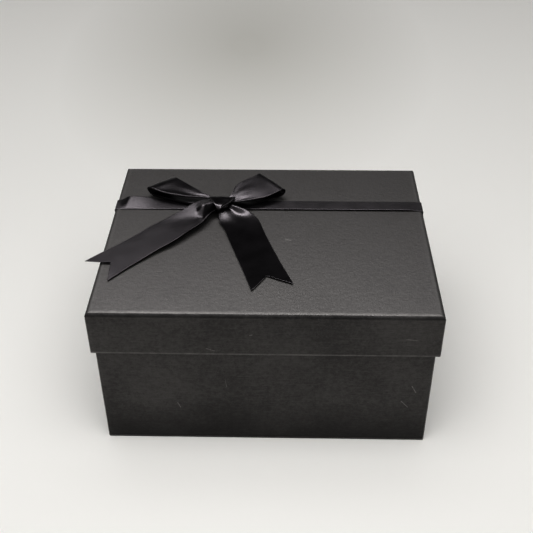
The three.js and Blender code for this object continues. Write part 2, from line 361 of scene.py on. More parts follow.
def greyboard():
    """Recycled greyboard with flecks of darker and lighter fibre."""
    n = material_nodes("greyboard")
    where = n.position()
    cloud = n.noise(where, 120.0, 4.0, 0.6)
    fleck = n.remap(n.noise(where, 1500.0, 2.0, 0.5), 0.62, 0.7)
    base = n.mix(n.remap(cloud, 0.3, 0.7), rgb(0.23, 0.215, 0.19), rgb(0.33, 0.31, 0.275))
    color = n.mix(fleck, base, rgb(0.09, 0.085, 0.08))
    normal = n.bump(cloud, 0.3, 0.0002)
    return n.finish({"Base Color": color, "Roughness": 0.95, "Normal": normal})


def stay_tape():
    """Gummed kraft paper tape."""
    n = material_nodes("stay_tape")
    where = n.position()
    fibre = n.noise(n.stretched(where, (300.0, 300.0, 2500.0)), 1.0, 3.0, 0.6)
    color = n.mix(n.remap(fibre, 0.3, 0.7), rgb(0.36, 0.26, 0.16), rgb(0.5, 0.39, 0.26))
    normal = n.bump(fibre, 0.2, 0.0001)
    return n.finish({"Base Color": color, "Roughness": 0.75, "Normal": normal})


def tissue_tape():
    """Double-sided tissue tape."""
    n = material_nodes("adhesive_tape")
    where = n.position()
    fibre = n.noise(where, 1800.0, 3.0, 0.6)
    color = n.mix(n.remap(fibre, 0.35, 0.65), rgb(0.62, 0.6, 0.54), rgb(0.78, 0.76, 0.7))
    return n.finish({"Base Color": color, "Roughness": 0.5, "Normal": n.bump(fibre, 0.2, 0.00005)})


def glue():
    """Cured hot-melt glue."""
    n = material_nodes("glue")
    cloud = n.noise(n.position(), 500.0, 3.0, 0.5)
    color = n.mix(n.remap(cloud, 0.3, 0.7), rgb(0.66, 0.6, 0.45), rgb(0.8, 0.76, 0.62))
    return n.finish({"Base Color": color, "Roughness": 0.35, "Normal": n.bump(cloud, 0.4, 0.0003)})


SATIN_DARK = rgb(0.002, 0.0017, 0.0021)
SATIN_LIGHT = rgb(0.0052, 0.0044, 0.0054)


def satin(name):
    """Black polyester satin. Its floats run along the ribbon, so the sheen spreads across it."""
    n = material_nodes(name)
    along = n.add("UVMap", uv_map="along").outputs["UV"]
    floats = n.noise(n.stretched(along, (6500.0, 420.0, 1.0)), 1.0, 2.0, 0.5)
    patch = n.noise(n.position(), 90.0, 2.0, 0.5)
    tone = n.remap(n.math("ADD", floats, patch), 0.7, 1.3)
    tangent = n.add("Tangent", direction_type="UV_MAP", uv_map="along").outputs["Tangent"]
    return n.finish({
        "Base Color": n.mix(tone, SATIN_DARK, SATIN_LIGHT),
        "Roughness": n.remap(tone, 0.0, 1.0, 0.28, 0.35),
        "Normal": n.bump(floats, 0.35, 0.00004),
        "Tangent": tangent,
        "Anisotropic": 0.85,
        "Specular IOR Level": 0.27,
        "Specular Tint": rgb(1.0, 0.92, 0.98),
    })


SHADOW_PATCH = (-0.04, 0.6, 0.0)  # centre of a painted shadow on the floor, in metres from the middle of the box


def floor_paper():
    """The pale seamless sheet that the box stands on, with a painted shadow, a dim patch far
    behind.
    """
    n = material_nodes("floor_paper")
    where = n.position()
    # painted shadow: darker towards the patch's centre
    away = n.vector("MULTIPLY", n.vector("SUBTRACT", where, SHADOW_PATCH), (1.0, 0.6, 1.0))
    patch = n.remap(n.vector("LENGTH", away), 0.24, 0.02)
    color = n.mix(patch, rgb(0.86, 0.85, 0.825), rgb(0.63, 0.62, 0.585))
    normal = n.bump(n.noise(where, 300.0, 3.0, 0.6), 0.05, 0.0002)
    return n.finish({"Base Color": color, "Roughness": 0.85, "Normal": normal})


# ------------------------------------------------------------------ rounded trays


def side_stops(half, count):
    """Positions along one wall from corner to corner, with a tight pair at each paper seam."""
    seam = half - SEAM_INSET
    middle = np.linspace(-seam + 1.5, seam - 1.5, count)
    ends = [seam, seam + SEAM_WIDTH]
    return np.concatenate([[-ends[1], -ends[0]], middle, ends])


def ring(half, radius, stops_x, stops_y):
    """A rounded rectangle, anticlockwise from the front left. The stops keep their count."""
    half_x, half_y = half
    radius = max(radius, 0.02)
    straight_x = np.clip(stops_x, -(half_x - radius), half_x - radius)
    straight_y = np.clip(stops_y, -(half_y - radius), half_y - radius)
    turn = np.linspace(0.0, math.pi / 2, CORNER)
    arc = radius * np.stack([np.sin(turn), 1.0 - np.cos(turn)], axis=1)
    sides = []
    for quarter in range(4):
        stops, reach, other = (
            (straight_y, half_x, half_y) if quarter % 2 else (straight_x, half_y, half_x)
        )
        run = np.stack([stops, np.full_like(stops, -reach)], axis=1)
        bend = np.stack([other - radius + arc[:, 0], -reach + arc[:, 1]], axis=1)
        angle = quarter * math.pi / 2
        spin = np.array([[math.cos(angle), math.sin(angle)], [-math.sin(angle), math.cos(angle)]])
        sides.append(np.concatenate([run, bend]) @ spin)
    return np.concatenate(sides)


def corner_marks(count, stops_x, stops_y):
    """For a ring's `count` points: 1 on its rounded corners, 0 on its walls."""
    marks = np.zeros(count)
    start = 0
    for stops in (stops_x, stops_y, stops_x, stops_y):
        start += len(stops)
        marks[start + 1 : start + CORNER - 1] = 1.0
        start += CORNER
    return marks


def rounded(corners):
    """A profile of (inset, height) points, with an arc at each corner that gives a radius too.
    Returns the points and, for each, 0 on a flat and up to 1 on an arc."""
    places = np.array([corner[:2] for corner in corners], float)
    out = [places[0]]
    curved = [0.0]
    for i in range(1, len(corners) - 1):
        before, here, after = places[i - 1 : i + 2]
        radius = corners[i][2] if len(corners[i]) > 2 else 0.0
        if radius == 0.0:
            out.append(here)
            curved.append(0.0)
            continue
        start = here + radius * unit(before - here)
        end = here + radius * unit(after - here)
        centre = start + end - here
        for k in range(ARC_STEPS + 1):
            turn = 0.5 * math.pi * k / ARC_STEPS
            out.append(centre + (start - centre) * math.cos(turn) + (end - centre) * math.sin(turn))
            curved.append(math.sin(2 * turn) ** 0.5 if 0 < k < ARC_STEPS else 0.4)
    out.append(places[-1])
    curved.append(0.0)
    return np.array(out), np.array(curved)


def fill_flats(points, curved, longest=LONGEST_FLAT):
    """Adds points along the long flats of a profile, so that they can bow a little."""
    out = [points[0]]
    marks = [curved[0]]
    for a, b, mark in zip(points[:-1], points[1:], curved[1:]):
        pieces = max(1, math.ceil(np.linalg.norm(b - a) / longest))
        for k in range(1, pieces + 1):
            out.append(a + (b - a) * k / pieces)
            marks.append(mark if k == pieces else 0.0)
    return np.array(out), np.array(marks)


class Tray:
    """The base, or the lid turned over: a covered board tray that stands on its closed side."""

    def __init__(self, prefix, overturned):
        wrap_low, wrap_high = (np.array(c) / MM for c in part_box(prefix + "_wrap"))
        board_low = np.array(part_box(prefix + "_board")[0]) / MM
        self.low, self.high = wrap_low, wrap_high
        self.half = (wrap_high - wrap_low)[:2] / 2
        self.centre = (wrap_high + wrap_low)[:2] / 2
        self.height = wrap_high[2] - wrap_low[2]
        self.paper = board_low[0] - wrap_low[0]
        lining_low = np.array(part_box(prefix + "_liner")[0]) / MM
        self.board = lining_low[0] - board_low[0]
        self.lining = 2 * self.paper
        self.overturned = overturned
        self.fold = FOLD_RADIUS[prefix]

    def bowed(self, points):
        """Real board is never quite flat: the walls bow out a little."""
        across = np.cos(np.clip(points[:, :2] / self.half, -1, 1) * math.pi / 2)
        up = np.sin(np.clip(points[:, 2] / self.height, 0, 1) * math.pi / 2)
        side_x = np.abs(points[:, 0]) > self.half[0] - WALL_DEPTH
        side_y = np.abs(points[:, 1]) > self.half[1] - WALL_DEPTH
        out = points.copy()
        bow_x = WALL_BOW * across[:, 1] * up * SHORT_WALL_BOW
        out[:, 0] += np.sign(points[:, 0]) * side_x * bow_x
        out[:, 1] += np.sign(points[:, 1]) * side_y * WALL_BOW * across[:, 0] * up
        return out

    def placed(self, points):
        """From the tray's own frame, closed side at height 0, into the box's frame."""
        out = points.copy()
        if self.overturned:
            out[:, 1] *= -1
            out[:, 2] = self.high[2] - points[:, 2]
        else:
            out[:, 2] = self.low[2] + points[:, 2]
        out[:, :2] += self.centre
        return out

    def fold_painted_light(self, loop, inset, height):
        """Marks across the lid's top fold, at each point of a ring: above 0 a painted highlight
        that is partly rubbing, below 0 painted shade.
        """
        mark = np.interp((height - inset) / self.fold, *np.array(FOLD_PAINTED_LIGHT).T)
        at_front = loop[:, 1] > self.half[1] - inset - NEAR
        return mark * np.where(at_front | (mark < 0), 1.0, SIDE_HIGHLIGHT_SHARE)

    def step_seams(self, loop, inset):
        """Lifts the front and back papers off the flaps that they are glued to."""
        panel = np.abs(loop[:, 1]) > self.half[1] - inset - NEAR
        panel &= np.abs(loop[:, 0]) <= self.half[0] - SEAM_INSET + NEAR
        loop[panel, 1] += np.sign(loop[panel, 1]) * SEAM_STEP

    def sheet(self, name, corners, outer_radius, material, covering=False):
        """A closed layer of the tray from its (inset, height) profile. Only the covering paper
        has seams and a rim that is rubbed and lit with a painted highlight, and on the lid a fold
        with a painted highlight and painted shade."""
        profile, curved = fill_flats(*rounded(corners))
        stops = side_stops(self.half[0], SIDE_X), side_stops(self.half[1], SIDE_Y)
        fold_light_reach = -FOLD_PAINTED_LIGHT[0][0] * self.fold if covering and self.overturned else -1.0
        rim_strip = self.height - RIM_RADIUS - RIM_STRIP_HEIGHT
        rings = []
        wear_and_painted_light = []
        for (inset, height), on_curve in zip(profile, curved):
            loop = ring(self.half - inset, outer_radius - inset, *stops)
            marks = np.full(len(loop), on_curve if inset < CURVE_REACH else 0.0)
            if inset <= CORNER_REACH:
                marks = np.maximum(marks, corner_marks(len(loop), *stops))
            # painted highlight and painted shade across the lid's fold
            if inset + height < fold_light_reach:
                marks = self.fold_painted_light(loop, inset, height)
            # a rubbed strip along the rim, lightened also as a painted highlight
            if covering and abs(height - rim_strip) < NEAR:
                marks = np.maximum(marks, RIM_RUB_AND_HIGHLIGHT)
            if covering and inset < OUTSIDE:
                self.step_seams(loop, inset)
            rings.append(np.column_stack([loop, np.full(len(loop), height)]))
            wear_and_painted_light.append(marks)
        points = self.placed(self.bowed(np.concatenate(rings)))
        faces = ring_faces(len(rings), len(rings[0]), True)
        return mesh_object(name, points, faces, material, edge=np.concatenate(wear_and_painted_light))


def cover(tray, prefix, material):
    """The covering paper: over the closed face, up the walls, over the rim and turned in."""
    p, h = tray.paper, tray.height
    turned = 2 * p + tray.board  # inset of the turned-in paper's free face
    middle = tray.half[1] - COVER_MIDDLE
    # rings on the flat top before the fold, which carry the start of its painted highlight
    fold_light_rings = [(-across * tray.fold, 0) for across, _ in FOLD_PAINTED_LIGHT if across < -1]
    corners = [
        (middle, 0), *fold_light_rings, (0, 0, tray.fold),
        (0, PRESS[0]), (PRESS_DEPTH, PRESS[1]), (PRESS_DEPTH, PRESS[2]), (0, PRESS[3]),
        (0, h - RIM_RADIUS - 2 * RIM_STRIP_HEIGHT), (0, h - RIM_RADIUS - RIM_STRIP_HEIGHT),
        (0, h, RIM_RADIUS), (turned, h, RIM_RADIUS),
        (turned, h - TURN_IN), (turned - p, h - TURN_IN),
        (turned - p, h - p, RIM_RADIUS - p), (p, h - p, RIM_RADIUS - p),
        (p, p, tray.fold - p), (middle, p),
    ]
    piece = tray.sheet(prefix + "_cover_paper", corners, EDGE_RADIUS, material, covering=True)
    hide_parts(prefix + "_wrap")
    return piece


def board(tray, prefix, material):
    """The greyboard blank, inside the covering paper."""
    p, h, b = tray.paper, tray.height, tray.board
    middle = tray.half[1] - BOARD_MIDDLE
    corners = [
        (middle, p), (p, p, tray.fold - p), (p, h - p, RIM_RADIUS - p),
        (p + b, h - p, RIM_RADIUS - p), (p + b, p + b, BOARD_CORNER), (middle, p + b),
    ]
    piece = tray.sheet(prefix + "_greyboard", corners, EDGE_RADIUS, material)
    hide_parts(prefix + "_board")
    return piece


def lining(tray, prefix, material):
    """The lining paper, which laps over the turn-in."""
    p, h, t = tray.paper, tray.height, tray.lining
    middle = tray.half[1] - LINING_MIDDLE
    face = p + tray.board
    top = h - LINING_SETBACK
    outer, inner = LINING_CORNERS
    corners = [
        (middle, face), (face, face, outer), (face, h - TURN_IN), (face + p, h - TURN_IN),
        (face + p, top), (face + t, top), (face + t, face + t, inner), (middle, face + t),
    ]
    piece = tray.sheet(prefix + "_lining_paper", corners, face + 0.5, material)
    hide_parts(prefix + "_liner")
    return piece


def stay_section(paper, leg):
    """The closed L of a stay in plan, from the outside of its board at a right-hand front
    corner: x to the right, y inward."""
    radius = EDGE_RADIUS - paper
    turn = np.linspace(0.0, math.pi / 2, CORNER)
    arc = np.stack([radius * np.sin(turn), radius * (1 - np.cos(turn))], axis=1)
    path = np.concatenate([[[radius - leg, 0.0]], arc, [[radius, leg]]]) + [-radius, 0.0]
    round_in = np.stack([-np.sin(turn), np.cos(turn)], axis=1)
    inward = np.concatenate([[[0.0, 1.0]], round_in, [[-1.0, 0.0]]])
    thin = paper * STAY_SHARE
    return np.concatenate([path + 0.1 * thin * inward, (path + thin * inward)[::-1]])


def stays(tray, prefix, material):
    """L-shaped tape round each upright corner, between the board and the covering paper."""
    made = []
    outside = tray.half - tray.paper
    for depth_word, side_y in (("front", -1), ("back", 1)):
        for hand, side_x in (("left", -1), ("right", 1)):
            node = f"{prefix}_stay_{depth_word}_{hand}"
            low, high = (np.array(c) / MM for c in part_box(node))
            section = stay_section(tray.paper, high[0] - low[0])
            x = side_x * (outside[0] + section[:, 0]) + tray.centre[0]
            y = side_y * (outside[1] - section[:, 1]) + tray.centre[1]
            levels = np.linspace(low[2], high[2], 8)
            points = [np.column_stack([x, y, np.full(len(x), level)]) for level in levels]
            if side_x * side_y < 0:
                points = points[::-1]
            faces = ring_faces(len(levels), len(section), True)
            piece = mesh_object(node + "_tape", np.concatenate(points), faces, material)
            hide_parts(node)
            made.append(piece)
    return made


# ------------------------------------------------------------------ ribbon


def end_caps(rows, columns, size):
    """The faces that close a ribbon's two ends, between its upper and lower side."""
    faces = []
    for row, flip in ((0, False), (rows - 1, True)):
        start = row * size
        for j in range(columns):
            upper = [j, j + 1]
            lower = [(2 * columns - j) % size, (2 * columns + 1 - j) % size]
            cap = [start + k for k in dict.fromkeys(upper + lower)]
            if len(cap) > 2:
                faces.append(tuple(cap if flip else cap[::-1]))
    return faces


def thick_ribbon(name, surface, normal, along, material, thickness, width):
    """A closed ribbon from a grid of points, along by across, with firm rounded selvedges. along
    gives each point's distance from the ribbon's start."""
    rows, columns = surface.shape[:2]
    side = unit(np.gradient(surface, axis=1))
    place = np.linspace(-0.5, 0.5, columns) * width
    edge = smooth((np.abs(place) - (width / 2 - SELVEDGE)) / (0.5 * SELVEDGE))
    half = 0.5 * thickness * (1.0 + SELVEDGE_SWELL * edge)[None, :, None]
    upper = surface + normal * half
    lower = surface - normal * half
    first = surface[:, :1] - side[:, :1] * 0.5 * thickness
    last = surface[:, -1:] + side[:, -1:] * 0.5 * thickness
    section = np.concatenate([upper, last, lower[:, ::-1], first], axis=1)
    size = section.shape[1]
    across_uv = np.concatenate([place, [width / 2], place[::-1], [-width / 2]])
    run_uv = np.concatenate([along, along[:, -1:], along[:, ::-1], along[:, :1]], axis=1)
    uv = np.stack([np.broadcast_to(across_uv, run_uv.shape), run_uv], axis=2) * MM
    faces = ring_faces(rows, size, False) + end_caps(rows, columns, size)
    piece = mesh_object(name, section.reshape(-1, 3), faces, material, uv=uv.reshape(-1, 2))
    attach(piece, "lid")
    return piece


def distances(points):
    """Each point's distance along a line of points."""
    steps = np.linalg.norm(np.diff(points, axis=0), axis=1)
    return np.concatenate([[0.0], np.cumsum(steps)])


def spread(at, run, values):
    """values, given at each distance in run, at a grid of distances."""
    columns = range(values.shape[1])
    return np.stack([np.interp(at, run, values[:, k]) for k in columns], axis=at.ndim)


def laid(stations, rows, columns, notch=0.0):
    """The surface of a ribbon between its two edges. A station is a point on each edge and the
    folds between them: heights off the straight line, at even steps from edge to edge."""
    edges = np.array([[*left, *right] for left, right, folds in stations], float)
    folds = np.array([folds or (0,) * FOLD_STEPS for left, right, folds in stations], float)
    knots = distances((edges[:, :3] + edges[:, 3:]) / 2)
    fine = np.linspace(0.0, knots[-1], FINE_STEPS)
    edge_line = spline(knots, edges, fine)
    fold_line = spline(knots, folds, fine)
    middle = (edge_line[:, :3] + edge_line[:, 3:]) / 2
    run = distances(middle)
    across = np.linspace(-1.0, 1.0, columns)
    at = np.repeat(np.linspace(0.0, run[-1], rows)[:, None], columns, axis=1)
    last_quarter = np.clip(at / run[-1] * 4.0 - 3.0, 0.0, 1.0)
    at -= last_quarter * notch * (1.0 - np.abs(across))
    both = spread(at, run, edge_line)
    left, right = both[..., :3], both[..., 3:]
    flat = left + (right - left) * (across / 2 + 0.5)[None, :, None]
    forward = spread(at, run, np.gradient(middle, run, axis=0))
    normal = unit(np.cross(forward, right - left))
    normal *= np.sign(normal[: rows // 3, :, 2].sum())
    across_folds = spline(np.linspace(-1.0, 1.0, FOLD_STEPS), fold_line.T, across).T
    index = np.arange(columns)
    lift = np.stack([np.interp(at[:, j], run, across_folds[:, j]) for j in index], axis=1)
    wave = np.sin(at / 9.0 + 2.0 * across) * np.sin(at / 21.0 + 1.0)
    surface = flat + normal * (lift + RIPPLE * wave)[..., None]
    true_normal = unit(np.cross(np.gradient(surface, axis=0), np.gradient(surface, axis=1)))
    true_normal *= np.sign(np.sum(true_normal * normal, axis=2, keepdims=True))
    return surface, true_normal, at


def tucked_line(line, up, reached, columns):
    """One line across a gathered ribbon, with its spare width folded under the first end."""
    arc = distances(line)
    spare = np.clip(BOW_WIDTH - arc[-1] - 0.3, 0.0, 0.94 * arc[-1])
    under = spare * smooth(spare / 2.0)
    nose = TUCK_RADIUS * smooth(under / 1.5) + 1e-6
    place = np.linspace(0.0, 1.0, columns) * (under + arc[-1]) - under
    at = np.abs(place)
    bend = np.sqrt(nose**2 - np.maximum(nose - at, 0.0) ** 2)
    side = np.where(place < 0, -1.0, 1.0)
    point, way = spread(at, arc, line), spread(at, arc, up)
    edge_way = unit(line[:1] - line[1:2])
    turn = (bend / nose)[:, None]
    outward = unit(way * side[:, None] * turn + edge_way * np.sqrt(1.0 - turn**2))
    return point + way * (side * bend - nose)[:, None], outward, np.interp(at, arc, reached)


def tucked(surface, normal, along, columns, tuck_right):
    """Gives a gathered ribbon its whole width back: what doesn't lie between the two edges is
    folded under along one of them. Returns the points, their outward normals and their distances
    along the ribbon."""
    grids = (surface, normal, along)
    if tuck_right:
        grids = [grid[:, ::-1] for grid in grids]
    lines = [tucked_line(*line, columns) for line in zip(*grids)]
    made = [np.array(grid) for grid in zip(*lines)]
    return [grid[:, ::-1] for grid in made] if tuck_right else made


LEFT_TAIL = [
    ((-1, -4, 4.6), (-6, 3, 7.4), (0, -1.2, 0.2, 1.8, 1.5, 0.8, 0)),
    ((-4.5, -7.4, 5.0), (-8.5, 2.0, 8.2), (0.8, -2.4, 1.2, 2.8, 2.2, 0.9, 0)),
    ((-7.8, -13.2, 5.3), (-14, 1.6, 8.4), (1.0, -2.4, 1.0, 3.2, 2.4, 0.9, 0)),
    ((-9.3, -16.5, 5.3), (-17, -0.4, 8.3), (0.9, -2.5, 0.5, 3.0, 2.0, 0.4, 0)),
    ((-10.8, -19.8, 5.3), (-20, -2.3, 8.2), (0.5, -1.8, -1.2, 0.5, 0.3, 0, 0)),
    ((-12.6, -22.8, 5.2), (-24.5, -6.5, 7.1), (0.2, -0.8, -1.2, -0.9, -0.5, -0.2, 0)),
    ((-15, -26, 5.1), (-29.6, -10.5, 6.1), (0.1, -0.2, -0.6, -0.8, -0.6, -0.2, 0)),
    ((-21, -32.8, 4.9), (-38.8, -17.7, 4.4), (0, 0, -0.1, -0.2, -0.2, -0.1, 0)),
    ((-28.5, -41.8, 4.1), (-47.2, -24.4, 3.2), (0, 0.1, 0.1, 0.1, 0.1, 0.1, 0)),
    ((-38, -50.3, 3.0), (-55.6, -33.2, 2.4), (0, 0.1, 0.1, 0.1, 0.1, 0.1, 0)),
    ((-47, -59.3, 2.1), (-64.4, -42.6, 2.0), (0, 0.1, 0.1, 0.1, 0.1, 0.1, 0)),
    ((-58.5, -72, 1.4), (-76.1, -54.0, 1.9), None),
    ((-68, -84, 1), (-85.7, -65.0, 2.5), None),
]
RIGHT_TAIL = [
    ((-2, -4.5, 4.4), (5, 0, 6.4), (0, 0.3, 0.2, -0.4, 0, 0.6, 0)),
    ((-1.8, -8.4, 4.2), (13.2, -4.6, 6.6), (0, 0.4, 0.2, -0.6, -0.3, 0.9, 0)),
    ((-1, -15.6, 2.6), (19.6, -7.6, 4.9), (0, 0.3, 0.3, -0.2, -0.2, 0.3, 0)),
    ((2.6, -23.2, 1.8), (25.6, -14.2, 3.3), (0, 0.1, 0.1, 0.1, 0.1, 0.1, 0)),
    ((5.3, -31.4, 1.6), (28.9, -23, 2.3), (0, 0.1, 0.1, 0.1, 0.1, 0.1, 0)),
    ((9, -42.8, 1.4), (32.8, -35.6, 1.8), None),
    ((12.7, -54.5, 1.2), (36.8, -47.3, 1.4), None),
    ((17.4, -69, 1), (41.9, -62, 1.1), None),
    ((24.4, -92.5, 1), (50.6, -85.2, 1.1), None),
]
LEFT_LOOP = [
    ((-3, 0.5, 7), (-3, 3.5, 7.5), None),
    ((-9, 4.2, 8.9), (-10.7, 7.6, 8.8), (0, -0.5, -0.6, -0.3, 0, 0, 0)),
    ((-21.2, 5.4, 8.6), (-15.5, 11.3, 9.2), (0.3, -0.3, -0.45, -0.25, 0, 0, 0)),
    ((-34.5, 7.4, 8.7), (-22.5, 17.0, 9.7), (0.6, 0, -0.3, -0.2, 0.1, 0.2, 0)),
    ((-46, 11.6, 9.2), (-31, 24.6, 10.1), (0.2, 0.1, 0.2, 0.3, 0.3, 0.2, 0)),
    ((-53.5, 16.2, 9.4), (-36.6, 30.6, 9.4), (0, 0.2, 0.3, 0.4, 0.3, 0.2, 0)),
    ((-55.6, 19.2, 5.8), (-39, 36.4, 5.0), None),
    ((-53.5, 19, 2.0), (-37, 36.5, 1.6), None),
    ((-48, 16.4, 1), (-32, 32, 0.8), None),
    ((-36.5, 11, 1.4), (-23.5, 25, 0.9), None),
    ((-25.5, 4.8, 2.8), (-16.5, 17, 2), (0, 0, -0.3, -0.3, -0.2, 0, 0)),
    ((-16, 2.6, 4), (-11.5, 9.5, 3.6), None),
    ((-6, 0, 4.4), (-6, 4, 4.4), None),
]
RIGHT_LOOP = [
    ((3, 0.5, 7), (2, 4.5, 7.6), None),
    ((9, 0.9, 7.4), (5.6, 5.2, 9.2), (0.2, -0.25, -0.2, 0, 0, 0, 0)),
    ((15, 1.2, 7.7), (7.6, 10.6, 10.6), (0.4, -0.3, -0.1, 0, 0, -0.2, 0.4)),
    ((23, 3.2, 7.9), (9.9, 16.0, 11.6), (0.3, 0, 0, 0, 0, -0.4, 0.4)),
    ((32.3, 6.4, 8.7), (16, 23.3, 11.9), (0, 0, 0.1, 0.1, 0, -0.1, 0)),
    ((40, 11.8, 9.4), (22.8, 28.8, 12.2), (0, 0.1, 0.2, 0.3, 0.2, 0.1, 0)),
    ((43.8, 15.2, 9.1), (26.6, 33, 11.4), (0, 0.1, 0.2, 0.3, 0.2, 0.1, 0)),
    ((44.9, 17.6, 5.6), (27.8, 35.6, 7.5), None),
    ((42.5, 17.2, 2.3), (25, 34.7, 3.6), None),
    ((38, 16, 1.2), (21, 33, 2.2), None),
    ((28.5, 10.5, 1), (13, 28, 1.6), None),
    ((20, 6, 1.3), (7, 22, 1.8), (0, 0.2, 0.2, 0, 0, 0, 0)),
    ((12.5, 4.5, 2.6), (4, 13.5, 3), None),
    ((5, 1, 4), (3, 5, 4), None),
]
KNOT_WRAP = [
    ((-6, 9.2, 1.5), (5, 10, 1.5), None),
    ((-8.6, 7.6, 6), (8, 8.6, 6), (0, 0.3, 0, 0.2, 0, 0.2, 0)),
    ((-9.2, 4, 9.4), (9.3, 4.2, 9), (0, 0.2, 0, 0.1, -0.2, -0.2, 0.2)),
    ((-8, 0.4, 9.7), (7.8, -0.6, 9.1), (0, 0.2, -0.1, -0.2, -0.6, -0.6, 0.5)),
    ((-6, -3.4, 9.3), (4.6, -4.8, 8.8), (0, 0.1, -0.1, -0.2, -0.6, -0.6, 0.5)),
    ((-4.4, -6.2, 8.4), (1.2, -7.4, 8.3), (0, 0.1, -0.1, -0.2, -0.4, -0.3, 0.3)),
    ((-3.4, -7.8, 6.6), (-0.6, -8.6, 6.8), None),
    ((-2.6, -7, 3.5), (-0.8, -7.2, 3), None),
]


def knot_frame():
    """The knot's centre in plan and the lid's top, in millimetres."""
    low, high = (np.array(c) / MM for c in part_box("bow_knot"))
    lid_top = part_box("lid_wrap")[1][2] / MM
    return np.array([(low[0] + high[0]) / 2, (low[1] + high[1]) / 2, lid_top])


def bow_ribbon(node, stations, material, origin, rows, tuck_right, notch=0.0):
    """One piece of the bow, from its stations round the knot's centre."""
    surface, outward, along = tucked(
        *laid(stations, rows, BOW_COLUMNS, notch), BOW_MESH_COLUMNS, tuck_right
    )
    piece = thick_ribbon(
        node + "_ribbon", surface + origin, outward, along, material, BOW_THICK, BOW_WIDTH
    )
    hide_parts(node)
    return piece


def knot_core(material, origin):
    """The inner turns of the knot: a low bundle, creased where the ribbon is drawn together."""
    around = np.linspace(0.0, 2 * math.pi, 72, endpoint=False)
    levels = np.linspace(0.0, 1.0, 22)
    rings = []
    for level in levels:
        bulge = math.sin(math.pi * (0.12 + 0.8 * level)) ** 0.5
        crease = np.abs(np.sin(2.5 * around + 1.1 * level)) ** 0.7 - 0.5
        reach = KNOT_REACH * bulge * (1.0 + 0.1 * crease * bulge)
        x, y = reach * np.cos(around), reach * 0.95 * np.sin(around)
        rings.append(np.column_stack([x, y, np.full(len(around), 0.4 + KNOT_HEIGHT * level)]))
    points = np.concatenate(rings) + origin
    uv = np.stack([np.tile(around, len(levels)), np.repeat(np.arange(len(levels)), len(around))], 1)
    faces = ring_faces(len(levels), len(around), True)
    piece = mesh_object("bow_knot_core", points, faces, material, uv=uv * [5.0 * MM, 0.4 * MM])
    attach(piece, "lid")
    return piece


def bow(material):
    """The loops, the tails, the ribbon round the knot and the knot's inside."""
    origin = knot_frame()
    bow_ribbon("bow_left_loop", LEFT_LOOP, material, origin, 220, False)
    bow_ribbon("bow_right_loop", RIGHT_LOOP, material, origin, 220, False)
    bow_ribbon("bow_left_tail", LEFT_TAIL, material, origin, 190, True, NOTCH)
    bow_ribbon("bow_right_tail", RIGHT_TAIL, material, origin, 170, True, NOTCH)
    bow_ribbon("bow_knot", KNOT_WRAP, material, origin, 100, False)
    knot_core(material, origin)


def band_path(low, high, half_thick):
    """The band's middle line in x and z: up inside the lid, round its rim and over the top."""
    tape_low, tape_high = (np.array(c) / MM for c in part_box("band_tape_right"))
    x_out = high[0] - half_thick
    x_in = tape_low[0] - half_thick
    top = high[2] - half_thick
    bottom = low[2] + half_thick
    inside_top = tape_high[2] + 1.0
    corners = [
        (-x_in, inside_top), (-x_in, bottom, BAND_TURN), (-x_out, bottom, BAND_TURN),
        (-x_out, top, BAND_BEND), (x_out, top, BAND_BEND),
        (x_out, bottom, BAND_TURN), (x_in, bottom, BAND_TURN), (x_in, inside_top),
    ]
    path, _ = rounded(corners)
    path, _ = fill_flats(path, np.zeros(len(path)), 2.0)
    return path, x_out, top


def band(material):
    """The narrow ribbon over the lid, round both edges and under the rim."""
    low, high = (np.array(c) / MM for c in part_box("ribbon_band"))
    half_thick = (high[2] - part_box("lid_wrap")[1][2] / MM) / 2
    path, x_out, top = band_path(low, high, half_thick)
    across = np.linspace(-1.0, 1.0, 17)
    width = high[1] - low[1]
    on_top = smooth((x_out - 0.6 - np.abs(path[:, 0])) / 9.0) * (path[:, 1] > top - 0.2)
    slack = np.array(BAND_SLACK)
    edges = spline(slack[:, 0], slack[:, 1:], np.clip(path[:, 0], slack[0, 0], slack[-1, 0]))
    edges = edges * on_top[:, None]
    share = (across / 2 + 0.5)[None, :]
    lift = edges[:, :1] * (1 - share) + edges[:, 1:] * share
    lift = lift + BAND_CROWN * on_top[:, None] * (1 - across**2)
    surface = np.zeros((len(path), len(across), 3))
    surface[..., 0] = path[:, :1]
    surface[..., 1] = (low[1] + high[1]) / 2 + across[None, :] * width / 2 * 0.99
    surface[..., 2] = path[:, 1:] + lift
    surface = surface[:, ::-1]
    normal = unit(np.cross(np.gradient(surface, axis=1), np.gradient(surface, axis=0)))
    along = np.repeat(distances(path)[:, None], len(across), axis=1)
    piece = thick_ribbon("ribbon_band_satin", surface, normal, along, material,
                         2 * half_thick * BAND_SHARE, width)
    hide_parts("ribbon_band")
    return piece


# ------------------------------------------------------------------ stage, light and camera

CAMERA_AIM = (-1.9, 36.4, 55.5)  # the point in the middle of the frame
CAMERA_DISTANCE = 654.5
CAMERA_ELEVATION = 36.82  # degrees above the horizon
CAMERA_HEADING = 1.57  # degrees, turned to the left of straight back
CAMERA_ROLL = -0.42
CAMERA_LENS = 58.2

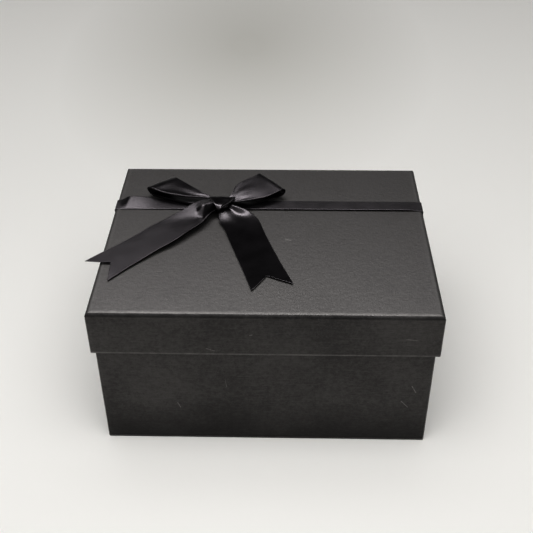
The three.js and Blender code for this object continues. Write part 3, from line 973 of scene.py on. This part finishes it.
FLOOR_REACH = 6.0  # metres from the box to the floor's edges
SKY = [  # brightness of the surroundings at the sine of the elevation
    (0.0, 0.55), (0.2, 0.45), (0.34, 0.18), (0.44, 0.02), (0.72, 0.02), (0.82, 0.4), (0.9, 0.8),
    (1.0, 1.0),
]
SKY_LEFT = 0.2  # how much brighter the left is than the middle
BACKDROP = 0.62  # brightness of what is seen behind the object
LIGHTS = [  # name, place, what it faces, size, watts; metres. The sheen lights show in gloss only
    ("key", (-0.02, -0.6, 1.45), (0.0, 0.0, 0.05), (2.3, 1.6), 25.0),
    ("sheen_middle", (0.0, 0.15, 0.62), (0.0, 0.02, 0.1), (0.34, 0.18), 5.0),
    ("sheen_left", (-0.26, 0.15, 0.62), (-0.1, 0.03, 0.1), (0.14, 0.2), 3.3),
    ("sheen_right", (0.26, 0.2, 0.62), (0.1, 0.03, 0.1), (0.16, 0.24), 1.3),
]
GAMMA = 0.8


def camera():
    """The camera, turned and tilted about its aim."""
    data = bpy.data.cameras.new("camera")
    data.lens = CAMERA_LENS
    data.sensor_width = 36.0
    data.clip_start = 0.01
    piece = linked("camera", data)
    turn = Quaternion((0, 0, 1), math.radians(CAMERA_HEADING))
    turn = turn @ Quaternion((1, 0, 0), math.radians(90.0 - CAMERA_ELEVATION))
    turn = turn @ Quaternion((0, 0, 1), math.radians(CAMERA_ROLL))
    piece.rotation_euler = turn.to_euler()
    piece.location = MM * (Vector(CAMERA_AIM) + CAMERA_DISTANCE * (turn @ Vector((0, 0, 1))))
    bpy.context.scene.camera = piece


def lights():
    """The soft studio lights."""
    for name, place, aim, size, watts in LIGHTS:
        data = bpy.data.lights.new(name, "AREA")
        data.shape = "RECTANGLE"
        data.size, data.size_y = size
        data.energy = watts
        lamp = linked(name, data)
        lamp.visible_diffuse = not name.startswith("sheen")
        lamp.location = place
        lamp.rotation_euler = (Vector(aim) - Vector(place)).to_track_quat("-Z", "Y").to_euler()


def stage():
    """The plain floor."""
    r = FLOOR_REACH
    mesh = bpy.data.meshes.new("floor")
    mesh.from_pydata([(-r, -r, 0), (r, -r, 0), (r, r, 0), (-r, r, 0)], [], [(0, 1, 2, 3)])
    mesh.materials.append(floor_paper())
    linked("floor", mesh)


def sky_brightness(n, sine):
    """The brightness that SKY gives at the sine of the elevation."""
    node = n.add("FloatCurve", {"Value": sine})
    curve = node.mapping.curves[0]
    for index, (place, value) in enumerate(SKY):
        point = curve.points[index] if index < 2 else curve.points.new(place, value)
        point.location = (place, value)
        point.handle_type = "VECTOR"
    node.mapping.update()
    return node.outputs["Value"]


def surroundings():
    """A pale studio: light low down, darker half way up, and a bright ceiling to the left."""
    world = bpy.data.worlds.new("studio")
    bpy.context.scene.world = world
    n = Nodes(world)
    way = n.add("SeparateXYZ", {"Vector": n.add("TexCoord").outputs["Generated"]}).outputs
    side = n.add("Math", {0: way["X"], 1: -SKY_LEFT, 2: 1.0}, operation="MULTIPLY_ADD")
    level = n.math("MULTIPLY", sky_brightness(n, way["Z"]), side.outputs["Value"])
    behind = n.add("LightPath").outputs["Is Camera Ray"]
    strength = n.add("Mix", {0: behind, 2: level, 3: BACKDROP}).outputs[0]
    inputs = {"Color": rgb(1.0, 0.99, 0.975), "Strength": strength}
    background = n.add("Background", inputs).outputs["Background"]
    n.add("OutputWorld", {"Surface": background})


def view():
    """How the scene's brightness is shown."""
    bpy.context.scene.view_settings.view_transform = "Standard"
    bpy.context.scene.view_settings.gamma = GAMMA


# ------------------------------------------------------------------ assembly


def dress_cad_nodes(looks):
    """CAD nodes whose shape is right keep it and get their finished material."""
    for node, look in looks.items():
        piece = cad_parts[node]
        piece.data.materials.clear()
        piece.data.materials.append(look)


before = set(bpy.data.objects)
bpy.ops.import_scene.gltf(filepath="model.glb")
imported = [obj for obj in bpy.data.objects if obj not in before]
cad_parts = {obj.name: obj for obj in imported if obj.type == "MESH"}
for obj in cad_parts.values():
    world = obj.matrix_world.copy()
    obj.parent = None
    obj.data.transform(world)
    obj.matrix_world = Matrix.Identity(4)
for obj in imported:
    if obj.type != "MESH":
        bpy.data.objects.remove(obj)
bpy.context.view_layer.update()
camera()

paper = cover_paper()
grey = greyboard()
tape = stay_tape()
inside = lining_paper()
ribbon = satin("satin")
for prefix, turned in (("base", False), ("lid", True)):
    tray = Tray(prefix, turned)
    made = [
        (cover(tray, prefix, paper), "cover_paper"),
        (board(tray, prefix, grey), "greyboard"),
        (lining(tray, prefix, inside), "lining_paper"),
    ]
    made += [(piece, "stay_tape") for piece in stays(tray, prefix, tape)]
    for piece, slot in made:
        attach(piece, prefix)
dress_cad_nodes({"band_tape_left": tissue_tape(), "band_tape_right": tissue_tape(),
                 "bow_glue_dot": glue()})
band(satin("band_satin"))
bow(ribbon)
stage()
surroundings()
lights()
view()
